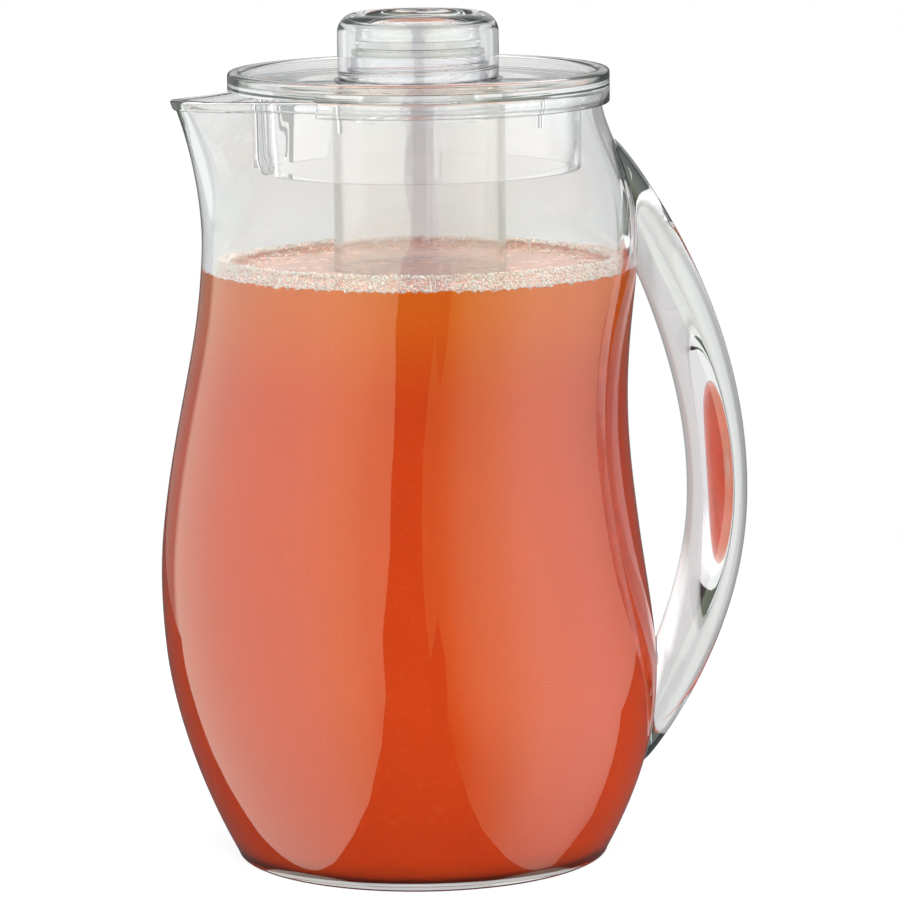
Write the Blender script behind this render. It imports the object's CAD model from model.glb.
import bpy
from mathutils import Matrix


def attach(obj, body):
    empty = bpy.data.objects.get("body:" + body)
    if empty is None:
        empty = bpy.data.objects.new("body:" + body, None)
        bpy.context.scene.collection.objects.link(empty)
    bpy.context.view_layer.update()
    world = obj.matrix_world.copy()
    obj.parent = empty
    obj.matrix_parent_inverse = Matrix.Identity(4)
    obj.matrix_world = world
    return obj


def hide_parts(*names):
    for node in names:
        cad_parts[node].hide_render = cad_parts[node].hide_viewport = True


bl_info = {
    "name": "Juice Carafe",
    "version": (1, 0, 0),
    "blender": (4, 5, 0),
    "location": "3D View > Sidebar > Carafe",
    "description": "Builds a clear juice carafe with its lid, ice tube, cap, juice and foam",
    "category": "Object",
}

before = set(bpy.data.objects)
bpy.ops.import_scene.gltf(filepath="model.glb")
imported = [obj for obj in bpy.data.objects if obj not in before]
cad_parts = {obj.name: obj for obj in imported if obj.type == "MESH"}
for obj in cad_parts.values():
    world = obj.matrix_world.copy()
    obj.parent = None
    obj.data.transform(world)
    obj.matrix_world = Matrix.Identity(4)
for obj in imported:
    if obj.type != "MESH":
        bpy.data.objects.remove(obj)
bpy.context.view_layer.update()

import math

import bpy
import numpy as np
from bpy.props import FloatProperty, FloatVectorProperty, IntProperty, PointerProperty
from mathutils import Matrix, Vector

MM = 0.001
FULL_TURN = 2 * math.pi
SMALL_ROUND = 0.5 * MM
OVERRUN = 2 * MM

# Angles in degrees above which an edge stays sharp, by how round the piece is
CREASE = 32.0
ROUND_CREASE = 40.0
SOFT_CREASE = 50.0
NO_CREASE = 180.0

# Fineness of the meshes: facets round a turn, and rows along a length
BODY_COLUMNS, BODY_ROWS, INNER_ROWS = 232, 86, 84
CUTTER_COLUMNS, CUTTER_ROWS = 200, 90
HANDLE_FACETS, HANDLE_STATIONS = 72, 110
LID_FACETS, CAP_FACETS, TUBE_FACETS, SEAL_FACETS = 240, 220, 200, 160
FOOT_ROWS, BEAD_FOOT_ROWS, BEAD_ROWS, FLOOR_ROUND_ROWS = 6, 6, 7, 9
LIP_CUT_STEPS, WINDOW_STEPS = 72, 48
THREAD_STEPS, RIDGE_FACETS = 96, 12
JUICE_COLUMNS, JUICE_RINGS, FOAM_COLUMNS = 400, 24, 160
BUBBLE_SEGMENTS, BUBBLE_RINGS = 8, 4
FLOOR_RINGS, FLOOR_SPOKES = 24, 96

# How often light may turn on its way through the clear walls
MOST_BOUNCES = 32

# How much of a face's normal points up where it belongs to the juice's open surface
LEVEL_ENOUGH = 0.4

# How much commoner small bubbles are than large ones, as a power
BUBBLE_SKEW = 1.8


def length(name, millimetres, description):
    return FloatProperty(
        name=name, description=description, default=millimetres * MM, unit="LENGTH", precision=4
    )


def share(name, value, description):
    return FloatProperty(
        name=name, description=description, default=value, min=0.0, max=1.0, subtype="FACTOR"
    )


def colour(name, value, description):
    return FloatVectorProperty(
        name=name, description=description, default=value, size=3, min=0.0, max=1.0, subtype="COLOR"
    )


def number(name, value, description):
    return FloatProperty(name=name, description=description, default=value)


def angle(name, degrees, description):
    return FloatProperty(name=name, description=description, default=math.radians(degrees), subtype="ANGLE")


# Sizes and colours that a user would change


class CarafeBodySizes(bpy.types.PropertyGroup):
    rim_height: length("Rim Height", 254.7, "Height of the rim")
    base_radius: length("Base Radius", 61.2, "Outer radius at the base")
    belly_radius: length("Belly Radius", 81.37, "Outer radius at the widest height")
    shoulder_radius: length("Shoulder Radius", 71.7, "Outer radius at the shoulder")
    mouth_radius: length("Mouth Radius", 59.2, "Outer radius at the rim")
    wall: length("Wall", 4.5, "Thickness of the wall")
    floor_thickness: length("Floor Thickness", 5.0, "Thickness of the floor")
    base_fillet: length("Base Round", 1.2, "Round of the outer foot")
    floor_fillet: length("Floor Round", 8.0, "Round where the floor meets the wall")
    belly_share: share("Belly Height", 0.275, "Height of the belly as a share of the rim's")
    waist_share: share("Waist Height", 0.726, "Height of the waist as a share of the rim's")
    shoulder_share: share("Shoulder Height", 0.8, "Height of the shoulder as a share of the rim's")
    belly_lean: length("Belly Lean", 7.5, "How far the belly leans towards the spout")
    base_lean: length("Base Lean", 1.5, "How far the base leans towards the spout")
    lean_peak_share: share("Lean Peak", 0.44, "Height of the greatest lean as a share of the rim's")
    lean_end_share: share("Lean End", 0.825, "Height where the lean ends as a share of the rim's")
    spout_reach: length("Spout Reach", 21.4, "Reach of the spout past the mouth")
    spout_tip: length("Spout Tip", 6.0, "Radius of the spout's tip")
    spout_drop: length("Spout Drop", 3.0, "Fall of the rim towards the spout")
    spout_drop_start: share("Spout Drop Start", 0.5, "Where the rim starts to fall, as a share of the mouth")
    rim_bead: length("Rim Bead", 1.0, "How far the rim's bead stands out")
    rim_bead_height: length("Rim Bead Height", 3.6, "Height of the rim's bead")


class CarafeHandleSizes(bpy.types.PropertyGroup):
    stand_off: length("Stand-off", 25.9, "Reach of the handle past the belly")
    thickness: length("Thickness", 20.0, "Thickness at the handle's middle")
    width: length("Width", 37.0, "Width across the handle")
    outer_top: share("Outer Top", 0.934, "Where the outer edge leaves the body")
    inner_top: share("Inner Top", 0.758, "Where the inner edge leaves the body")
    apex: share("Apex", 0.475, "Height of the handle's furthest point")
    inner_bottom: share("Inner Bottom", 0.276, "Where the inner edge meets the body again")
    outer_bottom: share("Outer Bottom", 0.113, "Where the outer edge meets the body again")
    bite: length("Bite", 4.0, "How far both ends run on before they are cut")
    inner_fullness: number("Inner Fullness", 1.55, "Squareness of the inner side")
    outer_fullness: number("Outer Fullness", 1.65, "Squareness of the outer side")
    end_fullness: number("End Fullness", 2.2, "Squareness of the ends")
    widest: number("Widest", 0.48, "Place of the greatest width, from the middle to the outer edge")
    taper: share("Taper", 0.35, "How much narrower the ends are")
    round_share: share("Round Ends", 0.88, "Where the section has turned round, from the middle to each end")
    gap: length("Bond Line", 0.3, "Gap between the handle and the body")


class CarafeLidSizes(bpy.types.PropertyGroup):
    seat_gap: length("Seat Gap", 0.3, "Gap between pieces that touch")
    lip_clearance: length("Lip Clearance", 0.4, "Gap between the lip and the rim's bead")
    skirt_clearance: length("Skirt Clearance", 1.7, "Gap between the skirt and the mouth")
    plate: length("Plate", 2.3, "Thickness of the lid's plate")
    rim_rise: length("Rim Rise", 3.6, "Rise of the lid's rim over its plate")
    rim_width: length("Rim Width", 4.5, "Width of the lid's rim")
    corner: length("Corner", 1.4, "Round of the lid's corners")
    lip: length("Lip", 1.9, "Thickness of the lip")
    lip_depth: length("Lip Depth", 5.1, "Depth of the lip")
    lip_cut: angle("Lip Cut", 58.8, "Half the angle that the lip is cut away at the spout")
    skirt: length("Skirt", 2.0, "Thickness of the skirt")
    skirt_depth: length("Skirt Depth", 27.0, "Depth of the skirt")
    rib_height: length("Rib Height", 10.5, "Height of the skirt's ribs")
    rib_width: length("Rib Width", 0.8, "Width of the skirt's ribs")
    finger_place: angle("Finger Place", 20.4, "Angle between the strainer's fingers")
    finger_half: angle("Finger Half", 6.1, "Half the angle that a finger takes")
    window: angle("Window", 31, "Half the angle that the strainer takes")
    land: length("Land", 1.5, "Skirt left above the strainer's gaps")
    neck_wall: length("Neck Wall", 2.5, "Thickness of the neck's wall")
    pad: length("Pad", 0.8, "Rise of the pad round the neck")
    pad_margin: length("Pad Margin", 1.3, "Reach of the pad past the cap")
    collar_depth: length("Collar Depth", 10.0, "Depth of the collar that carries the ice tube")


class CarafeCapSizes(bpy.types.PropertyGroup):
    radius: length("Radius", 26.4, "Outer radius of the cap")
    wall: length("Wall", 2.7, "Thickness of the cap's wall")
    height: length("Height", 21.0, "Height of the cap")
    edge: length("Edge Round", 6.4, "Round of the cap's upper edge")
    recess: length("Recess Radius", 18.0, "Radius of the finger recess")
    recess_depth: length("Recess Depth", 8.4, "Depth of the finger recess")
    top: length("Top", 3.4, "Thickness of the cap's top")
    floor: length("Floor", 2.4, "Thickness under the recess")
    thread_gap: length("Thread Gap", 0.5, "Gap between a thread and the wall that it faces")
    thread_lead: length("Thread Lead", 4.0, "Rise of a thread in one turn")
    thread_depth: length("Thread Depth", 1.2, "How far a thread stands out")
    thread_foot: length("Thread Foot", 1.6, "Height of a thread at its foot")
    thread_crest: length("Thread Crest", 0.9, "Height of a thread at its crest")
    outer_turns: number("Outer Turns", 1.25, "Turns of the outer threads")
    inner_turns: number("Inner Turns", 0.8, "Turns of the inner threads")
    start: share("Start", 0.45, "Where the cap's own thread starts, as a share of a turn")
    seal: length("Seal", 2.0, "Thickness of the seals")
    seal_width: length("Seal Width", 3.2, "Width of the cap's seal")


class CarafeTubeSizes(bpy.types.PropertyGroup):
    over_cap: length("Over Cap", 1.9, "How much wider than the cap the ice tube is")
    wall: length("Wall", 2.0, "Thickness of the ice tube")
    length: length("Length", 182.0, "Length of the ice tube")
    round: length("Round", 9.0, "Round at the foot of the ice tube")
    edge: length("Edge", 0.4, "Round of the ice tube's upper edges")


class CarafeContentSizes(bpy.types.PropertyGroup):
    level: length("Juice Level", 196.6, "Height of the juice")
    overlap: length("Overlap", 0.15, "How far the juice runs into the wall, so that no air shows between")
    meniscus: length("Meniscus", 0.9, "Rise of the juice at the wall")
    foam_top: length("Foam Top", 201.4, "Height of the foam at the wall")
    foam_width: length("Foam Width", 3.4, "Width of the foam's ring")
    foam_back: share("Thinner Behind", 0.75, "How much lower the foam lies behind than in front")
    raggedness: length("Raggedness", 1.2, "How far bubbles dip below the juice's level at the wall")
    bubble_small: length("Small Bubble", 0.24, "Radius of the smallest bubble")
    bubble_large: length("Large Bubble", 0.66, "Radius of the largest bubble")
    bubble_spacing: length("Bubble Spacing", 0.68, "Least distance between bubbles")
    seed: IntProperty(name="Seed", description="Picks where the bubbles lie", default=7)


class CarafeColours(bpy.types.PropertyGroup):
    plastic: colour("Plastic", (0.974, 0.978, 0.982), "Tint of the clear plastic")
    plastic_ior: number("Plastic IOR", 1.57, "Refraction of the plastic")
    tube: colour("Ice Tube", (0.997, 0.993, 0.99), "Tint of the ice tube")
    haze: colour("Haze", (0.99, 0.95, 0.93), "Colour of the tube's milky haze")
    stray: colour("Stray Light", (0.85, 0.93, 1.0), "Colour of the stray light in thick clear plastic")
    glow: number("Stray Strength", 0.007, "Strength of the stray light in thick plastic")
    milk_glow: number("Haze Strength", 0.02, "Strength of the light in the tube's haze")
    seal: colour("Seal", (0.9, 0.91, 0.9), "Tint of the seals")
    juice: colour("Juice", (0.6, 0.059, 0.005), "Colour of the juice")
    juice_deep: colour("Juice Depths", (0.58, 0.052, 0.0045), "Colour of the juice's darker swirls")
    juice_upper: colour("Upper Juice", (0.65, 0.124, 0.0065), "Colour of the juice near its surface")
    pulp: colour("Pulp", (0.93, 0.28, 0.08), "Colour of the specks of pulp")
    juice_ior: number("Juice IOR", 1.34, "Refraction of the juice and its foam")
    foam: colour("Foam", (0.985, 0.8, 0.69), "Colour of the foam")
    foam_pale: colour("Pale Foam", (0.99, 0.93, 0.9), "Colour of the foam's paler bubbles")
    floor: colour("Floor", (0.9, 0.9, 0.9), "Colour of the floor")
    floor_grain: colour("Floor Grain", (0.8, 0.8, 0.8), "Colour of the floor's faint grain")


class CarafeStageSizes(bpy.types.PropertyGroup):
    floor_radius: length("Floor Radius", 1400.0, "Radius of the floor")
    panel_place: length("Panel Place", 600.0, "How far each side panel stands from the middle")
    panel_strength: number("Panel Strength", 3.0, "Brightness of the side panels")
    top_strength: number("Top Strength", 16.4, "Brightness of the light above the front")
    side_strength: number("Side Strength", 7.2, "Brightness of the light behind the handle")
    camera_side: length("Camera Side", 8.919, "How far the camera stands to the handle's side")
    camera_distance: length("Camera Distance", 1600.0, "How far the camera stands in front")
    camera_height: length("Camera Height", 396.535, "Height of the camera")
    camera_pitch: angle("Camera Pitch", 9.298, "How far the camera looks down")
    camera_roll: angle("Camera Roll", -0.666, "How far the camera leans")
    camera_reach: number("Camera Reach", 5.4430044, "Focal length, as a multiple of the picture's width")


GROUPS = {
    "carafe_body": CarafeBodySizes,
    "carafe_handle": CarafeHandleSizes,
    "carafe_lid": CarafeLidSizes,
    "carafe_cap": CarafeCapSizes,
    "carafe_tube": CarafeTubeSizes,
    "carafe_contents": CarafeContentSizes,
    "carafe_colours": CarafeColours,
    "carafe_stage": CarafeStageSizes,
}


# Node trees


class Wire:
    """A socket of a node tree. Sums on it, from either side, add Math nodes."""

    def __init__(self, shader, socket):
        self.shader = shader
        self.socket = socket

    def _math(self, operation, first, second):
        node = self.shader.node("ShaderNodeMath", {"operation": operation}, {0: first, 1: second})
        return Wire(self.shader, node.outputs[0])

    def most(self, other):
        return self._math("MAXIMUM", self, other)

    def least(self, other):
        return self._math("MINIMUM", self, other)


for _sign, _operation in (("add", "ADD"), ("sub", "SUBTRACT"), ("mul", "MULTIPLY"), ("truediv", "DIVIDE")):
    setattr(Wire, f"__{_sign}__", lambda self, other, kind=_operation: self._math(kind, self, other))
    setattr(Wire, f"__r{_sign}__", lambda self, other, kind=_operation: self._math(kind, other, self))


class Nodes:
    """A node tree that is filled by short calls."""

    def __init__(self, tree):
        self.tree = tree

    def node(self, kind, settings=None, sockets=None):
        node = self.tree.nodes.new(kind)
        for name, value in (settings or {}).items():
            if name == "stops":
                self._fill_ramp(node.color_ramp, value)
            else:
                setattr(node, name, value)
        for name, value in (sockets or {}).items():
            target = node.inputs[name]
            if isinstance(value, Wire):
                value = value.socket
            if isinstance(value, bpy.types.NodeSocket):
                self.tree.links.new(value, target)
            else:
                target.default_value = (*value, 1.0) if target.type == "RGBA" else value
        return node

    def out(self, kind, settings=None, sockets=None):
        return self.node(kind, settings, sockets).outputs[0]

    def _fill_ramp(self, ramp, stops):
        while len(ramp.elements) > 1:
            ramp.elements.remove(ramp.elements[-1])
        for i, (place, value) in enumerate(stops):
            stop = ramp.elements[0] if i == 0 else ramp.elements.new(place)
            stop.position = place
            stop.color = (*value, 1.0)


class Shader(Nodes):
    """The node tree of one material, light or world."""

    def __init__(self, owner):
        owner.use_nodes = True
        super().__init__(owner.node_tree)
        self.tree.nodes.clear()

    def wire(self, kind, settings=None, sockets=None, output=0):
        return Wire(self, self.node(kind, settings, sockets).outputs[output])

    def place(self):
        return self.wire("ShaderNodeTexCoord", output="Object")

    def axis(self, which, vector=None):
        return self.wire("ShaderNodeSeparateXYZ", {}, {0: vector or self.place()}, output=which)

    def rays(self, *names):
        """What the light path says of the ray that looks."""
        path = self.node("ShaderNodeLightPath")
        return [Wire(self, path.outputs[name]) for name in names]

    def noise(self, scale, detail=3.0, distortion=0.0, vector=None):
        vector = vector or self.place()
        sockets = {"Scale": scale, "Detail": detail, "Distortion": distortion, "Vector": vector}
        return self.wire("ShaderNodeTexNoise", {}, sockets)

    def stretch(self, vector, factors):
        return self.wire("ShaderNodeVectorMath", {"operation": "MULTIPLY"}, {0: vector, 1: factors})

    def ramp(self, value, low, high, low_value=0.0, high_value=1.0):
        sockets = {"Value": value, 1: low, 2: high, 3: low_value, 4: high_value}
        return self.wire("ShaderNodeMapRange", {"interpolation_type": "SMOOTHSTEP"}, sockets)

    def mix(self, factor, first, second):
        sockets = {0: factor, 6: first, 7: second}
        return self.wire("ShaderNodeMix", {"data_type": "RGBA"}, sockets, output=2)

    def blend(self, factor, first, second):
        return self.out("ShaderNodeMixShader", {}, {0: factor, 1: first, 2: second})

    def emission(self, tone, strength):
        return self.out("ShaderNodeEmission", {}, {"Color": tone, "Strength": strength})

    def bump(self, height, strength, distance):
        sockets = {"Height": height, "Strength": strength, "Distance": distance}
        return self.wire("ShaderNodeBump", {}, sockets, output="Normal")

    def principled(self, sockets):
        return self.out("ShaderNodeBsdfPrincipled", {}, sockets)

    def finish(self, shader, kind="Material"):
        self.node("ShaderNodeOutput" + kind, {}, {"Surface": shader})


def geometry_tree(name, inputs):
    """A Geometry Nodes tree with its inputs, given as names and types, and the sockets that hand them out."""
    tree = bpy.data.node_groups.new(name, "GeometryNodeTree")
    tree.interface.new_socket("Geometry", in_out="OUTPUT", socket_type="NodeSocketGeometry")
    for title, kind in inputs:
        tree.interface.new_socket(title, in_out="INPUT", socket_type="NodeSocket" + kind)
    nodes = Nodes(tree)
    return nodes, nodes.node("NodeGroupInput").outputs


def end_geometry(nodes, geometry, material):
    """Ends a Geometry Nodes tree with plain mesh in one material."""
    whole = nodes.out("GeometryNodeRealizeInstances", {}, {0: geometry})
    paint = nodes.out("GeometryNodeSetMaterial", {}, {0: whole, "Material": material})
    nodes.node("NodeGroupOutput", {}, {0: paint})
    return nodes.tree


# Meshes


def mesh_object(name, points, faces, sharp_degrees=CREASE):
    mesh = bpy.data.meshes.new(name)
    mesh.from_pydata(np.asarray(points, float).tolist(), [], faces)
    mesh.update()
    smooth(mesh, sharp_degrees)
    made = bpy.data.objects.new(name, mesh)
    bpy.context.scene.collection.objects.link(made)
    return made


def smooth(mesh, sharp_degrees):
    mesh.polygons.foreach_set("use_smooth", np.ones(len(mesh.polygons), bool))
    mesh.set_sharp_from_angle(angle=math.radians(sharp_degrees))


def bands(rings, count, closed=False):
    """Faces between rings of points that follow one another, and from the last to the first if closed."""
    faces = []
    for j in range(rings if closed else rings - 1):
        low, high = j * count, (j + 1) % rings * count
        for k in range(count):
            after = (k + 1) % count
            faces.append((low + k, low + after, high + after, high + k))
    return faces


def skin(rows, first_pole, last_pole):
    """Points and faces of a skin through rows of points of one length, with a fan at each end."""
    count = len(rows[0])
    points = [point for row in rows for point in row]
    faces = bands(len(rows), count)
    first, last = len(points), len(points) + 1
    points += [first_pole, last_pole]
    top = (len(rows) - 1) * count
    for k in range(count):
        after = (k + 1) % count
        faces.append((first, after, k))
        faces.append((last, top + k, top + after))
    return points, faces


def revolved(profile, segments):
    """Points and faces of a closed profile of (radius, height) about Z, whose outer side goes up."""
    turns = np.arange(segments) * FULL_TURN / segments
    rows = [[(r * math.cos(t), r * math.sin(t), z) for t in turns] for r, z in profile]
    if profile[0][0] == 0:
        return skin(rows[1:-1], (0, 0, profile[0][1]), (0, 0, profile[-1][1]))
    return [point for row in rows for point in row], bands(len(profile), segments, closed=True)


def arc(centre_radius, centre_height, round_, start_degrees, end_degrees, steps):
    angles = np.radians(np.linspace(start_degrees, end_degrees, steps + 1))
    return [(centre_radius + round_ * math.cos(a), centre_height + round_ * math.sin(a)) for a in angles]


def wall_up(radius, first, last, steps):
    """Rows between a straight wall's two ends, so that what is joined at one end leaves the rest alone."""
    return [(radius, height) for height in np.linspace(first, last, steps + 1)[1:-1]]


def sector(inner, outer, start, end, bottom, top, steps=24):
    """Points and faces of a block between two radii, two angles and two heights."""
    angles = np.linspace(start, end, steps + 1)
    outline = [(outer * math.cos(a), outer * math.sin(a)) for a in angles]
    outline += [(inner * math.cos(a), inner * math.sin(a)) for a in angles[::-1]]
    return prism(outline, bottom, top)


def prism(outline, bottom, top):
    """Points and faces of a flat outline drawn up from one height to another."""
    count = len(outline)
    points = [(x, y, z) for z in (bottom, top) for x, y in outline]
    ends = [tuple(range(count))[::-1], tuple(range(count, 2 * count))]
    return points, ends + bands(2, count)


def spun(x, y, turn):
    """A point turned about Z."""
    return x * math.cos(turn) - y * math.sin(turn), x * math.sin(turn) + y * math.cos(turn)


def combine(piece, other, operation, sharp_degrees=CREASE):
    """Joins or cuts a piece with another closed mesh, which is then removed."""
    modifier = piece.modifiers.new("combine", "BOOLEAN")
    modifier.operation = operation
    modifier.solver = "MANIFOLD"
    modifier.object = other
    bpy.context.view_layer.update()
    made = bpy.data.meshes.new_from_object(piece.evaluated_get(bpy.context.evaluated_depsgraph_get()))
    if len(made.polygons) == 0:
        raise RuntimeError(f"{operation} of {piece.name} with {other.name} left nothing")
    piece.modifiers.remove(modifier)
    old = piece.data
    piece.data = made
    bpy.data.meshes.remove(old)
    bpy.data.objects.remove(other)
    smooth(piece.data, sharp_degrees)
    return piece


def finished(piece, material, body, node=None):
    """Gives a piece its material, its body, and the CAD node that it stands for."""
    if material is not None:
        piece.data.materials.clear()
        piece.data.materials.append(material)
    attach(piece, body)
    if node:
        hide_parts(node)
    return piece


def ease(value, lag=1.0):
    """A smooth rise from 0 to 1. Lag above 1 makes it start later."""
    return (1 - np.cos(math.pi * np.clip(value, 0, 1) ** lag)) / 2


def lerp(first, second, value):
    return first + (second - first) * value


def quarter(count):
    """Angles through a quarter of a turn."""
    return np.linspace(0, math.pi / 2, count)


# The body's form


class BodyForm:
    """The body's sections, worked out from its sizes."""

    # Powers for the foot's curve, the rises of neck and lean, and the columns' crowding at the spout
    FOOT_CURVE = 1.9
    NECK_LAG = 1.25
    LEAN_LAG = 1.4
    CROWDING = 1.35

    def __init__(self, sizes):
        self.s = sizes
        self.belly = sizes.rim_height * sizes.belly_share
        self.waist = sizes.rim_height * sizes.waist_share
        self.shoulder = sizes.rim_height * sizes.shoulder_share

    def radius(self, height):
        s = self.s
        if height < self.belly:
            fall = (1 - height / self.belly) ** self.FOOT_CURVE
            return lerp(s.belly_radius, s.base_radius, fall)
        if height < self.waist:
            rise = (height - self.belly) / (self.waist - self.belly)
            return lerp(s.belly_radius, s.shoulder_radius, ease(rise))
        rise = (height - self.shoulder) / (s.rim_height - self.shoulder)
        return lerp(s.shoulder_radius, s.mouth_radius, ease(rise, self.NECK_LAG))

    def centre(self, height):
        s = self.s
        peak = s.rim_height * s.lean_peak_share
        if height < peak:
            return -lerp(s.base_lean, s.belly_lean, ease(height / peak, self.LEAN_LAG))
        rise = (height - peak) / (s.rim_height * s.lean_end_share - peak)
        return -s.belly_lean * (1 - ease(rise, self.NECK_LAG))

    def section(self, height):
        s = self.s
        radius = self.radius(height)
        if height <= self.shoulder:
            return radius, self.centre(height), radius, 0.0
        rise = (height - self.shoulder) / (s.rim_height - self.shoulder)
        reach = lerp(s.shoulder_radius, s.mouth_radius + s.spout_reach, rise * rise)
        tip = lerp(radius, s.spout_tip, rise)
        return radius, self.centre(height), tip, max(0.0, reach - tip)

    def reach(self, section, angles, grow):
        """Distance from the section's centre to its outline at each angle from the spout."""
        radius, _, tip, stretch = section
        lead = (radius - tip) / stretch if stretch > 0 else 1.0
        out = np.full(len(angles), radius + grow)
        if lead >= 1:
            return out
        tangent = math.acos(lead)
        end_radius = tip + grow
        tip_end = math.atan2(end_radius * math.sin(tangent), stretch + end_radius * math.cos(tangent))
        turned = np.abs(angles)
        flank = (turned < tangent) & (turned > tip_end)
        out[flank] = (radius + grow) / np.cos(tangent - turned[flank])
        front = turned <= tip_end
        side = stretch * np.sin(turned[front])
        out[front] = stretch * np.cos(turned[front]) + np.sqrt(end_radius**2 - side**2)
        return out

    def angles(self, columns):
        half = columns // 2
        signed = np.where(np.arange(columns) <= half, np.arange(columns), np.arange(columns) - columns)
        return np.sign(signed) * math.pi * np.abs(signed / half) ** self.CROWDING

    def row(self, height, grow, columns, level=None):
        s = self.s
        angles = self.angles(columns)
        section = self.section(height)
        reach = self.reach(section, angles, grow)
        x = section[1] - reach * np.cos(angles)
        y = -reach * np.sin(angles)
        if level is not None:
            return np.stack([x, y, np.full(columns, level)], 1)
        rim_reach = self.reach(self.section(s.rim_height), angles, 0.0) * np.cos(angles)
        start = s.mouth_radius * s.spout_drop_start
        fall = ease((rim_reach - start) / (s.mouth_radius + s.spout_reach - start))
        above = max(0.0, (height - self.shoulder) / (s.rim_height - self.shoulder))
        return np.stack([x, y, height - s.spout_drop * fall * above], 1)

    def outer_rows(self, grow, columns, top, steps):
        s = self.s
        rows = []
        for turn in quarter(FOOT_ROWS):
            inset = s.base_fillet * (1 - math.sin(turn))
            level = s.base_fillet * (1 - math.cos(turn)) - grow
            rows.append(self.row(s.base_fillet, grow - inset, columns, level))
        for height in np.linspace(s.base_fillet, top, steps + 1)[1:]:
            rows.append(self.row(height, grow, columns))
        return rows

    def inner_rows(self, grow, columns, top, steps):
        """Rows of the inner wall from a height down to the floor's flat part."""
        s = self.s
        fillet_top = s.floor_thickness + s.floor_fillet
        heights = np.linspace(top, fillet_top, steps + 1)
        rows = [self.row(height, grow - s.wall, columns) for height in heights]
        for turn in quarter(FLOOR_ROUND_ROWS)[1:]:
            inset = s.floor_fillet * (1 - math.cos(turn))
            level = fillet_top - (s.floor_fillet + grow) * math.sin(turn)
            rows.append(self.row(fillet_top, grow - s.wall - inset, columns, level))
        return rows


# The carafe's pieces and its contents


class CARAFE_OT_body(bpy.types.Operator):
    """Builds the clear body with its spout, rim bead and rounded floor"""

    bl_idname = "carafe.body"
    bl_label = "Carafe Body"

    def execute(self, context):
        s = context.scene.carafe_body
        form = BodyForm(s)
        columns = BODY_COLUMNS
        bead_foot = s.rim_height - s.rim_bead_height
        rows = form.outer_rows(0.0, columns, bead_foot, BODY_ROWS)
        for turn in quarter(BEAD_FOOT_ROWS)[1:]:
            lift = s.rim_bead * (1 - math.cos(turn))
            rows.append(form.row(bead_foot + lift, s.rim_bead * math.sin(turn), columns))
        for turn in quarter(BEAD_ROWS):
            lift = s.rim_bead * (1 - math.sin(turn))
            rows.append(form.row(s.rim_height - lift, s.rim_bead * math.cos(turn), columns))
        for turn in quarter(BEAD_ROWS):
            lift = s.rim_bead * (1 - math.cos(turn))
            grow = s.rim_bead * (1 - math.sin(turn)) - s.wall
            rows.append(form.row(s.rim_height - lift, grow, columns))
        rows += form.inner_rows(0.0, columns, s.rim_height - 2 * s.rim_bead, INNER_ROWS)
        foot = (form.centre(0), 0, 0)
        inside = (form.centre(s.floor_thickness), 0, s.floor_thickness)
        piece = mesh_object("clear_body", *skin(rows, foot, inside), ROUND_CREASE)
        finished(piece, clear_plastic(context), "carafe", "carafe_body")
        return {"FINISHED"}


class CARAFE_OT_handle(bpy.types.Operator):
    """Builds the crescent handle and cuts its ends to the body"""

    bl_idname = "carafe.handle"
    bl_label = "Handle"

    # Powers that fill both edges out near their ends
    OUTER_LAG, INNER_LAG = 0.86, 0.93

    def edge(self, form, apex, down, top, bottom, reach, lag):
        """A point of the inner or outer edge, which leaves the body's wall at its top and bottom."""
        height = lerp(top, bottom, down)
        end = top if height > apex else bottom
        inward = min(1.0, max(0.0, (height - end) / (apex - end))) ** lag
        wall = form.centre(end) + form.radius(end)
        return np.array([lerp(wall, reach, math.sin(inward * math.pi / 2)), 0.0, height])

    def section(self, h, turns, from_middle):
        """Places from the inner side, -1, to the outer side, 1, and the full width at each."""
        rounded = min(1.0, (from_middle / h.round_share) ** 2)
        widest = h.widest * (1 - rounded)
        cosine, sine = np.cos(turns), np.sin(turns)
        outward = cosine > 0
        fullness = lerp(np.where(outward, h.outer_fullness, h.inner_fullness), h.end_fullness, rounded)
        span = np.where(outward, 1 - widest, 1 + widest)
        along = widest + span * np.sign(cosine) * np.abs(cosine) ** (2 / fullness)
        across = np.sign(sine) * np.abs(sine) ** (2 / fullness)
        return along, across * h.width * (1 - h.taper * from_middle**2)

    def execute(self, context):
        s, h = context.scene.carafe_body, context.scene.carafe_handle
        form = BodyForm(s)
        tall, reach = s.rim_height, s.belly_radius + h.stand_off
        turns = np.arange(HANDLE_FACETS) * FULL_TURN / HANDLE_FACETS
        outside = tall * h.outer_top, tall * h.outer_bottom, reach, self.OUTER_LAG
        inside = tall * h.inner_top, tall * h.inner_bottom, reach - h.thickness, self.INNER_LAG
        rows = []
        for i in range(HANDLE_STATIONS + 1):
            down = i / HANDLE_STATIONS
            outer, inner = (self.edge(form, tall * h.apex, down, *side) for side in (outside, inside))
            along, across = self.section(h, turns, abs(2 * down - 1))
            row = (outer + inner) / 2 + along[:, None] * (outer - inner) / 2
            row[:, 1] -= across / 2
            rows.append(row)
        bite = np.array([h.bite, 0, 0])
        rows = [rows[0] - bite] + rows + [rows[-1] - bite]
        piece = mesh_object("clear_handle", *skin(rows, rows[0].mean(0), rows[-1].mean(0)), SOFT_CREASE)
        cut = form.outer_rows(h.gap, CUTTER_COLUMNS, tall - s.rim_bead_height, CUTTER_ROWS)
        cut.append(form.row(tall, s.rim_bead + h.gap, CUTTER_COLUMNS))
        cutter = mesh_object("body_cutter", *skin(cut, (form.centre(0), 0, -h.gap), (0, 0, tall + h.bite)))
        combine(piece, cutter, "DIFFERENCE", SOFT_CREASE)
        finished(piece, thick_plastic(context), "carafe", "handle")
        return {"FINISHED"}


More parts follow.
